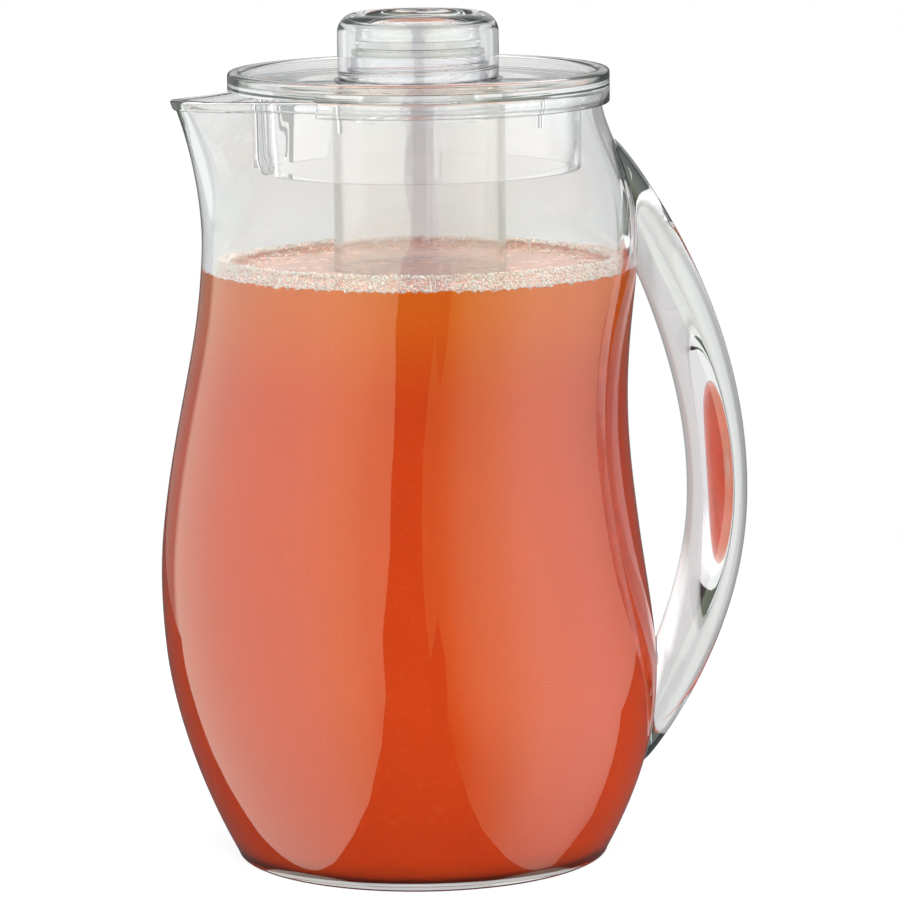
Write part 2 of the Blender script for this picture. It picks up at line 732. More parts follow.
class LidForm:
    """Heights and radii of the lid, the cap and the tube, worked out from their sizes."""

    def __init__(self, scene):
        body, lid, cap, tube = scene.carafe_body, scene.carafe_lid, scene.carafe_cap, scene.carafe_tube
        self.plate_bottom = body.rim_height + lid.seat_gap
        self.deck = self.plate_bottom + lid.plate
        self.top = self.deck + lid.rim_rise
        self.lip_bottom = self.plate_bottom - lid.lip_depth
        self.lip_inner = body.mouth_radius + body.rim_bead + lid.lip_clearance
        self.radius = self.lip_inner + lid.lip
        self.skirt = body.mouth_radius - body.wall - lid.skirt_clearance
        self.skirt_inner = self.skirt - lid.skirt
        self.skirt_bottom = self.plate_bottom - lid.skirt_depth
        self.cap_inner = cap.radius - cap.wall
        self.neck_crest = self.cap_inner - cap.thread_gap
        self.neck = self.neck_crest - cap.thread_depth
        self.hole = self.neck - lid.neck_wall
        self.pad = cap.radius + lid.pad_margin
        self.pad_top = self.deck + lid.pad
        self.cap_bottom = self.pad_top + lid.seat_gap
        self.cap_top = self.cap_bottom + cap.height
        self.recess_floor = self.cap_top - cap.recess_depth
        self.recess_underside = self.recess_floor - cap.floor
        self.cap_seal_bottom = self.recess_underside - lid.seat_gap - cap.seal
        self.neck_top = self.cap_seal_bottom - lid.seat_gap
        self.tube = cap.radius + tube.over_cap
        self.tube_inner = self.tube - tube.wall
        self.collar_crest = self.tube_inner - cap.thread_gap
        self.collar = self.collar_crest - cap.thread_depth
        self.collar_bottom = self.plate_bottom - lid.collar_depth
        self.tube_seal_bottom = self.plate_bottom - lid.seat_gap - cap.seal
        self.tube_top = self.tube_seal_bottom - lid.seat_gap
        self.tube_bottom = self.tube_top - tube.length
        self.thread_step = (cap.thread_foot + cap.thread_crest) / 2 + lid.seat_gap


def thread_tree():
    """Geometry Nodes that run a rounded ridge up a spiral, with its sizes as inputs."""
    sizes = ("Radius", "Turns", "Rise", "Start Height", "Start Turn", "Ridge Width", "Ridge Height")
    inputs = [(size, "Float") for size in sizes] + [("Material", "Material")]
    nodes, given = geometry_tree("thread_ridge", inputs)
    spiral = nodes.out("GeometryNodeCurveSpiral", {}, {
        "Resolution": THREAD_STEPS, "Reverse": True, "Rotations": given["Turns"],
        "Start Radius": given["Radius"], "End Radius": given["Radius"], "Height": given["Rise"],
    })
    upright = nodes.out("GeometryNodeSetCurveNormal", {"mode": "Z_UP"}, {"Curve": spiral})
    ring = nodes.out("GeometryNodeCurvePrimitiveCircle", {}, {"Resolution": RIDGE_FACETS, "Radius": 1.0})
    size = nodes.out("ShaderNodeCombineXYZ", {}, {0: given["Ridge Height"], 1: given["Ridge Width"], 2: 1.0})
    flat = nodes.out("GeometryNodeTransform", {}, {"Geometry": ring, "Scale": size})
    solid = nodes.out("GeometryNodeCurveToMesh", {}, {
        "Curve": upright, "Profile Curve": flat, "Fill Caps": True,
    })
    start = nodes.out("ShaderNodeMath", {"operation": "MULTIPLY"}, {0: given["Start Turn"], 1: FULL_TURN})
    turn = nodes.out("ShaderNodeCombineXYZ", {}, {2: start})
    lift = nodes.out("ShaderNodeCombineXYZ", {}, {2: given["Start Height"]})
    placed = nodes.out("GeometryNodeTransform", {}, {
        "Geometry": solid, "Rotation": turn, "Translation": lift,
    })
    return end_geometry(nodes, placed, given["Material"])


def grown(name, tree, values, base=None):
    """A plain mesh object from a Geometry Nodes tree, its inputs set by socket identifier."""
    mesh = base or bpy.data.meshes.new(name + "_base")
    maker = bpy.data.objects.new(name, mesh)
    bpy.context.scene.collection.objects.link(maker)
    modifier = maker.modifiers.new("nodes", "NODES")
    modifier.node_group = tree
    for item in tree.interface.items_tree:
        if item.in_out == "INPUT" and item.name in values:
            modifier[item.identifier] = values[item.name]
    bpy.context.view_layer.update()
    made = bpy.data.meshes.new_from_object(maker.evaluated_get(bpy.context.evaluated_depsgraph_get()))
    maker.modifiers.remove(modifier)
    maker.data = made
    made.name = name
    return maker


def add_thread(piece, name, radius, out, start_height, start_turn, cap, material):
    """Joins a thread ridge to a piece, centred a little outside or inside its wall's radius."""
    turns = cap.outer_turns if out > 0 else cap.inner_turns
    ridge = grown(name, bpy.data.node_groups.get("thread_ridge") or thread_tree(), {
        "Radius": radius + out * (cap.thread_depth - cap.thread_foot / 2), "Turns": turns,
        "Rise": turns * cap.thread_lead, "Start Height": start_height, "Start Turn": start_turn,
        "Ridge Width": cap.thread_foot / 2, "Ridge Height": cap.thread_foot / 2, "Material": material,
    })
    smooth(ridge.data, ROUND_CREASE)
    combine(piece, ridge, "UNION")


class CARAFE_OT_lid(bpy.types.Operator):
    """Builds the lid: plate, rim, lip, strainer skirt, ribs, threaded neck and collar"""

    bl_idname = "carafe.lid"
    bl_label = "Lid"

    # Where the skirt's ribs stand on each side, and half the arc of a rib's outer edge in radians
    RIB_DEGREES = (14, 45, 117)
    RIB_ROUND = 1.4

    def ring(self, s, f):
        """The lid's profile, from the collar's foot out along its underside and back over its top."""
        recess = f.radius - s.rim_width
        round_ = s.corner
        inside = SMALL_ROUND
        return [
            (f.hole, f.collar_bottom), (f.collar, f.collar_bottom),
            *arc(f.collar + inside, f.plate_bottom - inside, inside, 180, 90, 3),
            *arc(f.skirt_inner - inside, f.plate_bottom - inside, inside, 90, 0, 3),
            *wall_up(f.skirt_inner, f.plate_bottom - inside, f.skirt_bottom + inside, 10),
            *arc(f.skirt_inner + inside, f.skirt_bottom + inside, inside, 180, 270, 4),
            *arc(f.skirt - inside, f.skirt_bottom + inside, inside, -90, 0, 4),
            *wall_up(f.skirt, f.skirt_bottom + inside, f.plate_bottom, 10),
            (f.skirt, f.plate_bottom), (f.lip_inner, f.plate_bottom),
            *arc(f.lip_inner + inside, f.lip_bottom + inside, inside, 180, 270, 4),
            *arc(f.radius - inside, f.lip_bottom + inside, inside, -90, 0, 4),
            *arc(f.radius - round_, f.top - round_, round_, 0, 90, 8),
            *arc(recess + round_, f.top - round_, round_, 90, 180, 8),
            *arc(recess - inside, f.deck + inside, inside, 0, -90, 3),
            *arc(f.pad + inside, f.deck + inside, inside, -90, -180, 3),
            *arc(f.pad - inside, f.pad_top - inside, inside, 0, 90, 3),
            (f.neck, f.pad_top), *wall_up(f.neck, f.pad_top, f.neck_top, 8), (f.neck, f.neck_top),
            (f.hole, f.neck_top), *wall_up(f.hole, f.neck_top, f.collar_bottom, 12),
        ]

    def windows(self, s, f):
        """One cutter for the gaps between the strainer's fingers, whose lower ends are round."""
        inner, outer = f.skirt_inner - OVERRUN, f.skirt + s.skirt_clearance
        top, bottom = f.plate_bottom - s.land, f.skirt_bottom - OVERRUN
        cutter = mesh_object("windows", *sector(
            inner, outer, math.pi - s.window, math.pi + s.window, bottom, top, WINDOW_STEPS))
        half = (f.skirt + f.skirt_inner) / 2 * math.sin(s.finger_half)
        finger_top = top + OVERRUN
        outline = [(-half, finger_top), *arc(0, f.skirt_bottom + half, half, -180, 0, 16), (half, finger_top)]
        for place in (-s.finger_place, 0.0, s.finger_place):
            points, faces = prism(outline, inner - OVERRUN, outer + OVERRUN)
            placed = [(*spun(r, u, math.pi + place), z) for u, z, r in points]
            combine(cutter, mesh_object("finger", placed, faces), "DIFFERENCE")
        return cutter

    def rib(self, s, f, degrees):
        """An upright rib that keeps the skirt off the body's wall."""
        far = f.skirt + s.skirt_clearance - s.seat_gap
        near = f.skirt - s.skirt / 2
        half = s.rib_width / 2
        outline = [(near, -half), (far - half, -half)]
        for a in np.linspace(-self.RIB_ROUND, self.RIB_ROUND, 7):
            outline.append((far - half + half * math.cos(a), half * math.sin(a)))
        outline += [(far - half, half), (near, half)]
        placed = [spun(x, y, math.radians(degrees)) for x, y in outline]
        return mesh_object("rib", *prism(placed, f.plate_bottom - s.rib_height, f.plate_bottom + s.plate / 2))

    def execute(self, context):
        scene = context.scene
        s, cap, f = scene.carafe_lid, scene.carafe_cap, LidForm(scene)
        look = thick_plastic(context)
        piece = mesh_object("clear_lid", *revolved(self.ring(s, f), LID_FACETS))
        add_thread(piece, "neck_thread", f.neck, 1, f.pad_top + cap.thread_foot, 0.0, cap, look)
        add_thread(piece, "collar_thread", f.collar, 1, f.collar_bottom + cap.thread_foot, 0.0, cap, look)
        for degrees in self.RIB_DEGREES:
            for side in (-1, 1):
                combine(piece, self.rib(s, f, side * degrees), "UNION")
        cut = sector(
            f.lip_inner - s.lip_clearance, f.radius + OVERRUN, math.pi - s.lip_cut, math.pi + s.lip_cut,
            f.lip_bottom - OVERRUN, f.plate_bottom, LIP_CUT_STEPS,
        )
        combine(piece, mesh_object("lip_cutter", *cut), "DIFFERENCE")
        combine(piece, self.windows(s, f), "DIFFERENCE")
        finished(piece, look, "lid", "lid")
        return {"FINISHED"}


class CARAFE_OT_cap(bpy.types.Operator):
    """Builds the hollow dished screw cap and the seal ring inside it"""

    bl_idname = "carafe.cap"
    bl_label = "Screw Cap"

    def execute(self, context):
        scene = context.scene
        cap, lid, f = scene.carafe_cap, scene.carafe_lid, LidForm(scene)
        lip = (f.cap_top - f.recess_floor) / 3
        cavity_top = f.cap_top - cap.top
        cup = cap.recess + cap.floor
        cavity = (f.cap_inner - cup) / 2
        small = SMALL_ROUND
        profile = [
            (0, f.recess_underside),
            *arc(cup - small, f.recess_underside + small, small, -90, 0, 4),
            *arc(cup + cavity, cavity_top - cavity, cavity, 180, 0, 16),
            *arc(f.cap_inner + small, f.cap_bottom + small, small, 180, 270, 4),
            *arc(cap.radius - small, f.cap_bottom + small, small, -90, 0, 4),
            *arc(cap.radius - cap.edge, f.cap_top - cap.edge, cap.edge, 0, 75, 18),
            *arc(cap.recess + lip, f.cap_top - lip, lip, 90, 180, 12),
            *arc(cap.recess - small, f.recess_floor + small, small, 0, -90, 4),
            (0, f.recess_floor),
        ]
        piece = mesh_object("clear_cap", *revolved(profile, CAP_FACETS))
        start = f.pad_top + cap.thread_foot - f.thread_step + cap.thread_lead * cap.start
        look = thick_plastic(context)
        add_thread(piece, "cap_thread", f.cap_inner, -1, start, cap.start, cap, look)
        finished(piece, look, "cap", "screw_cap")
        outer = f.neck - lid.seat_gap
        add_seal(context, "cap_seal", outer - cap.seal_width, outer, f.cap_seal_bottom)
        return {"FINISHED"}


def add_seal(context, name, inner, outer, bottom):
    """Builds a flat ring with rounded edges, whose body and CAD node have one name."""
    thick = context.scene.carafe_cap.seal
    edge = thick / 4
    low, high = bottom + edge, bottom + thick - edge
    near, far = inner + edge, outer - edge
    corners = ((near, low, 180), (far, low, -90), (far, high, 0), (near, high, 90))
    profile = [point for r, z, start in corners for point in arc(r, z, edge, start, start + 90, 5)]
    ring = mesh_object(name + "_ring", *revolved(profile, SEAL_FACETS))
    finished(ring, seal_rubber(context), name, name)


class CARAFE_OT_tube(bpy.types.Operator):
    """Builds the ice tube and the seal ring over its mouth"""

    bl_idname = "carafe.tube"
    bl_label = "Ice Tube"

    def execute(self, context):
        scene = context.scene
        s, cap, lid, f = scene.carafe_tube, scene.carafe_cap, scene.carafe_lid, LidForm(scene)
        inner_round, edge = s.round - s.wall, s.edge
        profile = [
            (0, f.tube_bottom),
            *arc(f.tube - s.round, f.tube_bottom + s.round, s.round, -90, 0, 14),
            *wall_up(f.tube, f.tube_bottom + s.round, f.tube_top - edge, 24),
            *arc(f.tube - edge, f.tube_top - edge, edge, 0, 90, 4),
            *arc(f.tube_inner + edge, f.tube_top - edge, edge, 90, 180, 4),
            *wall_up(f.tube_inner, f.tube_top - edge, f.tube_bottom + s.round, 24),
            *arc(f.tube_inner - inner_round, f.tube_bottom + s.round, inner_round, 0, -90, 14),
            (0, f.tube_bottom + s.wall),
        ]
        piece = mesh_object("pale_tube", *revolved(profile, TUBE_FACETS))
        start = f.collar_bottom + cap.thread_foot + f.thread_step
        look = pale_plastic(context)
        add_thread(piece, "tube_thread", f.tube_inner, -1, start, 0.0, cap, look)
        finished(piece, look, "tube", "ice_tube")
        add_seal(context, "tube_seal", f.collar_crest + lid.seat_gap, f.tube, f.tube_seal_bottom)
        return {"FINISHED"}


class CARAFE_OT_juice(bpy.types.Operator):
    """Fills the body with juice up to its level"""

    bl_idname = "carafe.juice"
    bl_label = "Juice"

    def execute(self, context):
        s = context.scene.carafe_contents
        form = BodyForm(context.scene.carafe_body)
        rows = form.inner_rows(s.overlap, JUICE_COLUMNS, s.level, INNER_ROWS)[::-1]
        floor = rows[0][0][2]
        edge = rows[-1]
        edge[:, 2] -= s.raggedness * np.random.default_rng(s.seed).random(JUICE_COLUMNS) ** 2
        centre = np.array([form.centre(s.level), 0, s.level])
        for inward in np.linspace(0, 1, JUICE_RINGS)[1:-1]:
            row = lerp(edge, centre, inward)
            distance = np.linalg.norm(row[:, :2] - edge[:, :2], axis=1)
            row[:, 2] = s.level - s.meniscus * (1 - np.exp(-distance / (2 * s.meniscus)))
            rows.append(row)
        foot = (form.centre(0), 0, floor)
        top = (centre[0], 0, s.level - s.meniscus)
        piece = mesh_object("juice", *skin(rows, foot, top), SOFT_CREASE)
        finished(piece, juice(context), "carafe")
        piece.data.materials.append(juice_surface(context))
        heights = np.array([polygon.center.z for polygon in piece.data.polygons])
        normals = np.array([polygon.normal.z for polygon in piece.data.polygons])
        upper = (heights > s.level - 2 * s.meniscus) & (normals > LEVEL_ENOUGH)
        piece.data.polygons.foreach_set("material_index", upper.astype(np.int32))
        return {"FINISHED"}


def foam_tree():
    """Geometry Nodes that scatter bubbles over a surface, with their sizes as inputs."""
    nodes, given = geometry_tree("foam_bubbles", [
        ("Geometry", "Geometry"), ("Spacing", "Float"), ("Density", "Float"), ("Smallest", "Float"),
        ("Largest", "Float"), ("Seed", "Int"), ("Material", "Material"),
    ])
    scatter = nodes.out("GeometryNodeDistributePointsOnFaces", {"distribute_method": "POISSON"}, {
        "Mesh": given["Geometry"], "Distance Min": given["Spacing"], "Density Max": given["Density"],
        "Seed": given["Seed"],
    })
    bubble = nodes.out("GeometryNodeMeshUVSphere", {}, {
        "Radius": 1.0, "Segments": BUBBLE_SEGMENTS, "Rings": BUBBLE_RINGS,
    })
    chance = nodes.node("FunctionNodeRandomValue", {}, {"Seed": given["Seed"]}).outputs["Value"]
    skew = nodes.out("ShaderNodeMath", {"operation": "POWER"}, {0: chance, 1: BUBBLE_SKEW})
    size = nodes.out("ShaderNodeMapRange", {}, {
        "Value": skew, "To Min": given["Smallest"], "To Max": given["Largest"],
    })
    spread = nodes.out("GeometryNodeInstanceOnPoints", {}, {
        "Points": scatter, "Instance": bubble, "Scale": size,
    })
    return end_geometry(nodes, spread, given["Material"])


class CARAFE_OT_foam(bpy.types.Operator):
    """Scatters foam bubbles round the juice's edge and thinly over its surface"""

    bl_idname = "carafe.foam"
    bl_label = "Foam"

    # How far bubbles keep from the wall, how the ring falls inwards, and where it starts to thin out behind
    SINK, RING_SLOPE, BACK_START = 0.9, 0.55, 0.35

    # The thin lace over the surface: its height, its spacing, the size of its bubbles and its reach
    LACE_LIFT = 0.1 * MM
    LACE_SPACING, LACE_SIZE, LACE_REACH = 3.2, 0.8, 4

    # Rows of the surfaces that carry bubbles, and how many bubbles are tried in a square of one spacing
    WALL_ROWS, RING_ROWS = 5, 4
    CROWD = 2.0

    def seat(self, rows, name):
        """A surface to scatter bubbles on, through rows of points."""
        mesh = bpy.data.meshes.new(name)
        mesh.from_pydata(np.concatenate(rows).tolist(), [], bands(len(rows), len(rows[0])))
        return mesh

    def execute(self, context):
        s, body = context.scene.carafe_contents, context.scene.carafe_body
        form = BodyForm(body)
        look = foam(context)
        tree = foam_tree()
        inside = -s.bubble_large * self.SINK - body.wall
        foot = s.level - s.raggedness / 2
        heights = np.linspace(foot, s.foam_top, self.WALL_ROWS)
        wall_rows = [form.row(height, inside, FOAM_COLUMNS) for height in heights]
        ring_rows = [
            form.row(s.foam_top, inside - inset, FOAM_COLUMNS, s.foam_top - inset * self.RING_SLOPE)
            for inset in np.linspace(0, s.foam_width, self.RING_ROWS)
        ]
        for row in wall_rows + ring_rows:
            back = np.clip(row[:, 1] / body.shoulder_radius + self.BACK_START, 0, 1)
            row[:, 2] = lerp(row[:, 2], foot, back * s.foam_back)
        lace_rows = [
            form.row(s.level, inside - inset, FOAM_COLUMNS, s.level - s.meniscus + self.LACE_LIFT)
            for inset in np.linspace(s.foam_width, s.foam_width * self.LACE_REACH, self.RING_ROWS)
        ]
        parts = (
            ("foam_wall", wall_rows, 1, 1), ("foam_ring", ring_rows, 1, 1),
            ("foam_lace", lace_rows, self.LACE_SPACING, self.LACE_SIZE),
        )
        for extra, (name, rows, apart, large) in enumerate(parts):
            spacing = s.bubble_spacing * apart
            piece = grown(name, tree, {
                "Spacing": spacing, "Density": self.CROWD / spacing**2, "Smallest": s.bubble_small * large,
                "Largest": s.bubble_large * large, "Seed": s.seed + extra, "Material": look,
            }, self.seat(rows, name + "_seat"))
            smooth(piece.data, NO_CREASE)
            finished(piece, None, "carafe")
        return {"FINISHED"}


# Materials


def material(name):
    """Turns a function that fills a tree into one that hands out the material, made when first asked for."""
    def wrap(fill):
        def hand_out(context):
            made = bpy.data.materials.get(name)
            if made is None:
                made = bpy.data.materials.new(name)
                fill(Shader(made), context.scene.carafe_colours)
            return made
        return hand_out
    return wrap


def moulded(sh, looks, glow):
    """Clear moulded plastic with a faint flow ripple and marks of handling."""
    place = sh.place()
    flow = sh.noise(22.0, 2.0, 0.4, place)
    ripple = sh.noise(70.0, 1.0, 0.2, place)
    handling = sh.ramp(sh.noise(55.0, 4.0, 0.6, place), 0.62, 0.8)
    sh.finish(sh.principled({
        "Base Color": looks.plastic, "Roughness": 0.004 + handling * 0.018, "IOR": looks.plastic_ior,
        "Transmission Weight": 1.0, "Normal": sh.bump(flow * 0.8 + ripple * 0.2, 0.08, 0.0006),
        "Emission Color": looks.stray, "Emission Strength": glow,
    }))


@material("moulded_clear")
def clear_plastic(sh, looks):
    moulded(sh, looks, 0.0)


@material("moulded_thick")
def thick_plastic(sh, looks):
    """The same plastic where it is thick, with a glow for the light that strays in it."""
    moulded(sh, looks, looks.glow)


@material("moulded_pale")
def pale_plastic(sh, looks):
    """Clear plastic with a milky haze, for the ice tube."""
    drawn = sh.noise(60.0, 3.0, 0.3, sh.stretch(sh.place(), (1.0, 1.0, 0.15)))
    clear = sh.principled({
        "Base Color": looks.tube, "Roughness": 0.01 + drawn * 0.02, "IOR": 1.45,
        "Transmission Weight": 1.0, "Normal": sh.bump(drawn, 0.05, 0.0003),
        "Emission Color": looks.haze, "Emission Strength": looks.milk_glow,
    })
    milk = sh.out("ShaderNodeBsdfTranslucent", {}, {"Color": looks.haze})
    sh.finish(sh.blend(0.05 + drawn * 0.06, clear, milk))


@material("clear_silicone")
def seal_rubber(sh, looks):
    """Soft clear silicone."""
    grain = sh.noise(900.0, 2.0)
    sh.finish(sh.principled({
        "Base Color": looks.seal, "Roughness": 0.18 + grain * 0.12, "IOR": 1.41,
        "Transmission Weight": 0.95, "Normal": sh.bump(grain, 0.1, 0.00005),
    }))


def juice_tone(sh, looks):
    """Slow swirls of lighter and darker juice, with specks of pulp, paler near the surface."""
    place = sh.place()
    swirl = sh.noise(9.0, 3.0, 0.8, sh.stretch(place, (1.0, 1.0, 0.55)))
    pulp = sh.ramp(sh.noise(420.0, 2.0, 0.0, place), 0.55, 0.8)
    tone = sh.mix(sh.ramp(swirl, 0.35, 0.68), looks.juice, looks.juice_deep)
    tone = sh.mix(sh.ramp(sh.axis(2, place), 0.155, 0.195), tone, looks.juice_upper)
    return sh.mix(pulp * 0.08, tone, looks.pulp)


@material("juice")
def juice(sh, looks):
    """Juice as seen through the wall: opaque just below its surface, with no gloss of its own."""
    tone = juice_tone(sh, looks)
    sh.finish(sh.principled({"Base Color": tone, "Roughness": 0.8, "Specular IOR Level": 0.0}))


@material("juice_surface")
def juice_surface(sh, looks):
    """The juice's open surface, wet and a little frothy."""
    place = sh.place()
    froth = sh.ramp(sh.noise(120.0, 5.0, 0.5, place), 0.42, 0.7)
    sh.finish(sh.principled({
        "Base Color": sh.mix(0.15 + froth * 0.4, juice_tone(sh, looks), looks.foam),
        "Roughness": 0.07 + froth * 0.3, "IOR": looks.juice_ior,
        "Normal": sh.bump(sh.noise(90.0, 2.0, 0.0, place), 0.3, 0.0008),
    }))


@material("foam")
def foam(sh, looks):
    """Wet bubbles, white with a blush of juice."""
    blush = sh.ramp(sh.noise(260.0, 2.0), 0.35, 0.7)
    sh.finish(sh.principled({
        "Base Color": sh.mix(blush * 0.85, looks.foam, looks.foam_pale),
        "Roughness": 0.12 + blush * 0.15, "IOR": looks.juice_ior,
        "Subsurface Weight": 0.35, "Subsurface Scale": 0.001, "Subsurface Radius": (1.0, 0.5, 0.4),
        "Emission Color": looks.foam, "Emission Strength": 0.03,
    }))


# The stage


# Side panels: outlines in (Y, Z), tones at places along Y, and how bright the foot is
LEFT_PANEL = {
    "outline": (
        (-7.0, 3.0), (-7.0, 0.6), (-5.2, 0.2), (-3.3, -0.2), (-2.85, -0.7), (-1.94, -1.14), (-1.0, -1.16),
        (-0.53, -1.0), (-0.21, -0.86), (-0.015, -0.74), (0.17, -0.6), (0.33, -0.48), (0.46, -0.3),
        (0.49, -0.1), (2.0, -0.1), (2.0, 3.0),
    ),
    "tones": (
        (-4.0, (0.53, 0.6, 0.38)), (-2.0, (0.56, 0.64, 0.4)), (-1.0, (0.76, 0.84, 0.56)),
        (-0.5, (0.85, 0.92, 0.74)), (-0.1, (0.8, 0.87, 0.75)), (0.2, (0.67, 0.73, 0.65)),
        (0.5, (0.5, 0.55, 0.48)), (0.62, (0.13, 0.14, 0.13)), (2.0, (0.1, 0.11, 0.1)),
    ),
    "foot": 0.8,
}
RIGHT_PANEL = {
    "outline": (
        (-3.4, 3.0), (-3.4, -0.32), (-2.2, 0.05), (-2.0, -0.1), (-2.2, -0.75), (-1.7, -1.12), (-1.16, -1.22),
        (-0.7, -1.12), (-0.32, -0.93), (-0.035, -0.77), (0.2, -0.62), (0.29, -0.42), (0.22, -0.12),
        (0.4, -0.02), (0.8, 0.05), (0.8, 3.0),
    ),
    "tones": (
        (-2.2, (0.2, 0.24, 0.1)), (-1.6, (0.28, 0.32, 0.13)), (-1.1, (0.48, 0.54, 0.28)),
        (-0.66, (0.64, 0.71, 0.43)), (-0.3, (0.85, 0.92, 0.74)), (0.0, (0.68, 0.74, 0.65)),
        (0.25, (0.36, 0.4, 0.35)), (0.7, (0.05, 0.055, 0.05)),
    ),
    "foot": 0.5,
}

# What the panels show to rays turned inside thick plastic, to others in front, and to others far back
SHALLOW_TONE = (0.27, 0.27, 0.275)
FRONT_TONE = (0.58, 0.58, 0.58)
BACK_TONE = (0.14, 0.14, 0.145)

# How white the floor shows to the camera, how much of that inside glass, and what scattering takes off
FLOOR_WHITE, FLOOR_IN_GLASS, FLOOR_SCATTERED = 0.88, 0.5, 0.4

# Where the floor fades out, where the panels' foot dims, and where their front tone gives way to the back's
FLOOR_FADE = (0.3, 0.62)
PANEL_FOOT = (-1.0, 0.0)
PANEL_BACK = (0.2, 0.55)

# How many times light has bent before it no longer counts as inside thick plastic alone
SHALLOW_BENDS = (2.4, 3.4)

# Lamps: centre, way that they face, width and height
TOP_LIGHT = ((-0.1, -1.6, 2.1), (0.05, 0.65, -0.76), 0.9, 2.4)
SIDE_LIGHT = ((1.1, 0.75, 0.5), (-0.8, -0.55, -0.22), 1.0, 1.0)


def turned(right, up, back, place):
    """The matrix of an object at a place, turned to three axes."""
    return Matrix.Translation(place) @ Matrix((right, up, back)).transposed().to_4x4()


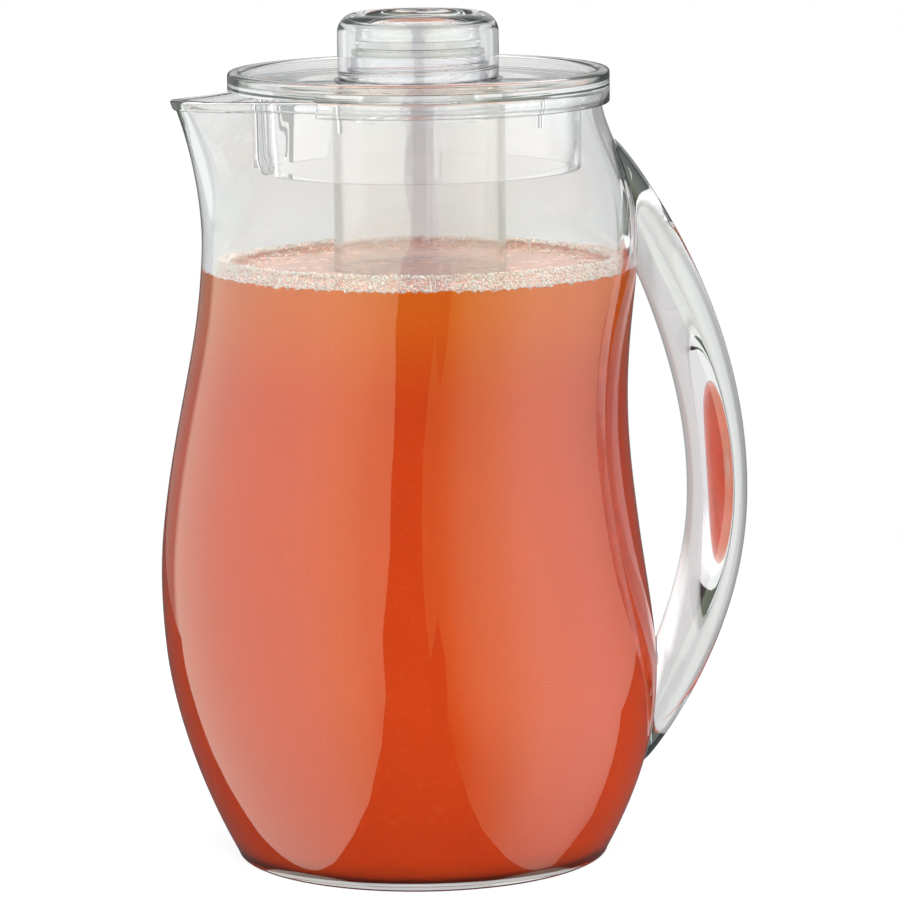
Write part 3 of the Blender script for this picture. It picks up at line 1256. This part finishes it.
class CARAFE_OT_stage(bpy.types.Operator):
    """Builds the floor, the side panels, the lamps, the surroundings and the camera"""

    bl_idname = "carafe.stage"
    bl_label = "Stage"

    def floor(self, context, radius):
        """A white floor that fades out, and lets rays through that gloss on the outside sends down."""
        spokes = FLOOR_SPOKES
        turns = np.arange(spokes) * FULL_TURN / spokes
        points = [(0.0, 0.0, 0.0)]
        for r in np.linspace(0, radius, FLOOR_RINGS + 1)[1:]:
            points += [(r * math.cos(t), r * math.sin(t), 0.0) for t in turns]
        faces = [(0, 1 + k, 1 + (k + 1) % spokes) for k in range(spokes)]
        for low in range(1, 1 + (FLOOR_RINGS - 1) * spokes, spokes):
            for k in range(spokes):
                after = (k + 1) % spokes
                faces.append((low + k, low + spokes + k, low + spokes + after, low + after))
        piece = mesh_object("floor", points, faces)
        made = bpy.data.materials.new("floor")
        sh = Shader(made)
        camera, bent, glossy, scatterings = sh.rays(
            "Is Camera Ray", "Is Transmission Ray", "Is Glossy Ray", "Diffuse Depth")
        seen = camera.most(bent * (FLOOR_IN_GLASS - scatterings.least(1.0) * FLOOR_SCATTERED))
        away = sh.wire("ShaderNodeVectorMath", {"operation": "LENGTH"}, {0: sh.place()}, output="Value")
        looks = context.scene.carafe_colours
        grain = sh.mix(sh.noise(300.0, 2.0) * 0.04, looks.floor, looks.floor_grain)
        matte = sh.principled({"Base Color": grain, "Roughness": 0.8, "Specular IOR Level": 0.2})
        lit = sh.blend(seen * FLOOR_WHITE, matte, sh.emission((1, 1, 1), 1.0))
        fade = sh.ramp(away, *FLOOR_FADE).most(glossy * (1 - bent))
        sh.finish(sh.blend(fade, lit, sh.out("ShaderNodeBsdfTransparent")))
        piece.data.materials.append(made)

    def panel(self, name, x, strength, form):
        """A large bright sheet at one side, seen in gloss and inside glass alone."""
        corners = [(x, y, z) for y, z in form["outline"]]
        piece = mesh_object(name, corners, [tuple(range(len(corners)))])
        made = bpy.data.materials.new(name)
        sh = Shader(made)
        along, height = sh.axis(1), sh.axis(2)
        first, last = form["tones"][0][0], form["tones"][-1][0]
        stops = [((y - first) / (last - first), tone) for y, tone in form["tones"]]
        tone = sh.wire("ShaderNodeValToRGB", {"stops": stops}, {0: (along - first) / (last - first)})
        tone = sh.mix(sh.ramp(height, *PANEL_FOOT, form["foot"], 1.0), (0, 0, 0), tone)
        bent, mirrorings, scatterings, bends = sh.rays(
            "Is Transmission Ray", "Glossy Depth", "Diffuse Depth", "Transmission Depth")
        inside = sh.mix(sh.ramp(along, *PANEL_BACK), FRONT_TONE, BACK_TONE)
        inside = sh.mix(sh.ramp(bends, *SHALLOW_BENDS), SHALLOW_TONE, inside)
        glow = sh.emission(sh.mix(bent, tone, inside), strength)
        hidden = scatterings.least(1.0).most(bent * (1 - mirrorings.least(1.0)))
        sh.finish(sh.blend(hidden, glow, sh.out("ShaderNodeBsdfTransparent")))
        piece.data.materials.append(made)
        piece.visible_camera = piece.visible_diffuse = piece.visible_shadow = False

    def lamp(self, name, strength, centre, facing, wide, tall):
        """A soft rectangular lamp, which rays inside glass see only once something has scattered them."""
        light = bpy.data.lights.new(name, "AREA")
        light.shape = "RECTANGLE"
        light.size, light.size_y = wide, tall
        light.energy = strength * math.pi * wide * tall
        sh = Shader(light)
        inside, scattered = (wire.least(1.0) for wire in sh.rays("Transmission Depth", "Diffuse Depth"))
        tone = sh.mix(1 - inside * (1 - scattered), (0, 0, 0), (1, 1, 1))
        sh.finish(sh.emission(tone, 1.0), "Light")
        holder = bpy.data.objects.new(name, light)
        bpy.context.scene.collection.objects.link(holder)
        back = -Vector(facing).normalized()
        right = Vector((0, 0, 1)).cross(back).normalized()
        holder.matrix_world = turned(right, back.cross(right), back, centre)
        holder.visible_camera = holder.visible_glossy = False

    def surroundings(self, context):
        """Surroundings that are white to the camera, and darker to gloss and inside glass."""
        world = bpy.data.worlds.new("studio")
        context.scene.world = world
        sh = Shader(world)
        direction = sh.wire("ShaderNodeTexCoord", output="Generated")
        y, z = sh.axis(1, direction), sh.axis(2, direction)
        seen, bent, glossy, scatterings = sh.rays(
            "Is Camera Ray", "Is Transmission Ray", "Is Glossy Ray", "Diffuse Depth")
        mirrored = glossy * (1 - bent)
        scattered = scatterings.least(1.0)
        overhead = 0.05 + sh.ramp(z, 0.35, 0.8) * 2.3
        behind = 0.4 + sh.ramp(y, 0.4, 0.65) * 0.1 + sh.ramp(y, 0.93, 0.965) * 0.18
        level = scattered * overhead + (1 - scattered) * behind
        gloss = 0.12 + sh.ramp(z, 0.04, 0.15) * sh.ramp(y, 0.5, 0.85) * 0.8
        tone = seen + (1 - seen) * (mirrored * gloss + (1 - mirrored) * level)
        sh.finish(sh.out("ShaderNodeBackground", {}, {"Color": tone, "Strength": 1.0}), "World")

    def camera(self, context, s):
        """A long lens in front, a little above the carafe, that looks down at it."""
        cosine, sine = math.cos(s.camera_pitch), math.sin(s.camera_pitch)
        back, level_up, level_right = Vector((0, -cosine, sine)), Vector((0, sine, cosine)), Vector((1, 0, 0))
        cosine, sine = math.cos(s.camera_roll), math.sin(s.camera_roll)
        right, up = cosine * level_right + sine * level_up, cosine * level_up - sine * level_right
        data = bpy.data.cameras.new("camera")
        data.sensor_width = 36.0
        data.lens = s.camera_reach * data.sensor_width
        data.clip_start, data.clip_end = 0.01, 50.0
        holder = bpy.data.objects.new("camera", data)
        context.scene.collection.objects.link(holder)
        place = s.camera_side, -s.camera_distance, s.camera_height
        holder.matrix_world = turned(right, up, back, place)
        context.scene.camera = holder

    def execute(self, context):
        s = context.scene.carafe_stage
        self.floor(context, s.floor_radius)
        self.surroundings(context)
        self.panel("left_panel", -s.panel_place, s.panel_strength, LEFT_PANEL)
        self.panel("right_panel", s.panel_place, s.panel_strength, RIGHT_PANEL)
        self.lamp("top_light", s.top_strength, *TOP_LIGHT)
        self.lamp("side_light", s.side_strength, *SIDE_LIGHT)
        self.camera(context, s)
        context.scene.view_settings.view_transform = "Standard"
        context.scene.cycles.max_bounces = MOST_BOUNCES
        context.scene.cycles.transmission_bounces = MOST_BOUNCES
        return {"FINISHED"}


OPERATORS = (
    CARAFE_OT_body, CARAFE_OT_handle, CARAFE_OT_lid, CARAFE_OT_cap, CARAFE_OT_tube,
    CARAFE_OT_juice, CARAFE_OT_foam, CARAFE_OT_stage,
)


class CARAFE_PT_panel(bpy.types.Panel):
    """Lists the carafe's pieces and their sizes"""

    bl_idname = "CARAFE_PT_panel"
    bl_label = "Juice Carafe"
    bl_space_type = "VIEW_3D"
    bl_region_type = "UI"
    bl_category = "Carafe"

    def draw(self, context):
        for operator in OPERATORS:
            self.layout.operator(operator.bl_idname)
        for name in GROUPS:
            column = self.layout.column()
            for item in GROUPS[name].bl_rna.properties:
                if not item.is_readonly and item.identifier != "name":
                    column.prop(getattr(context.scene, name), item.identifier)


CLASSES = (*GROUPS.values(), *OPERATORS, CARAFE_PT_panel)


def register():
    for item in CLASSES:
        bpy.utils.register_class(item)
    for name, group in GROUPS.items():
        setattr(bpy.types.Scene, name, PointerProperty(type=group))


def unregister():
    for name in GROUPS:
        delattr(bpy.types.Scene, name)
    for item in reversed(CLASSES):
        bpy.utils.unregister_class(item)


def main():
    register()
    bpy.ops.carafe.body()
    bpy.ops.carafe.handle()
    bpy.ops.carafe.lid()
    bpy.ops.carafe.cap()
    bpy.ops.carafe.tube()
    bpy.ops.carafe.juice()
    bpy.ops.carafe.foam()
    bpy.ops.carafe.stage()


if __name__ == "__main__":
    main()
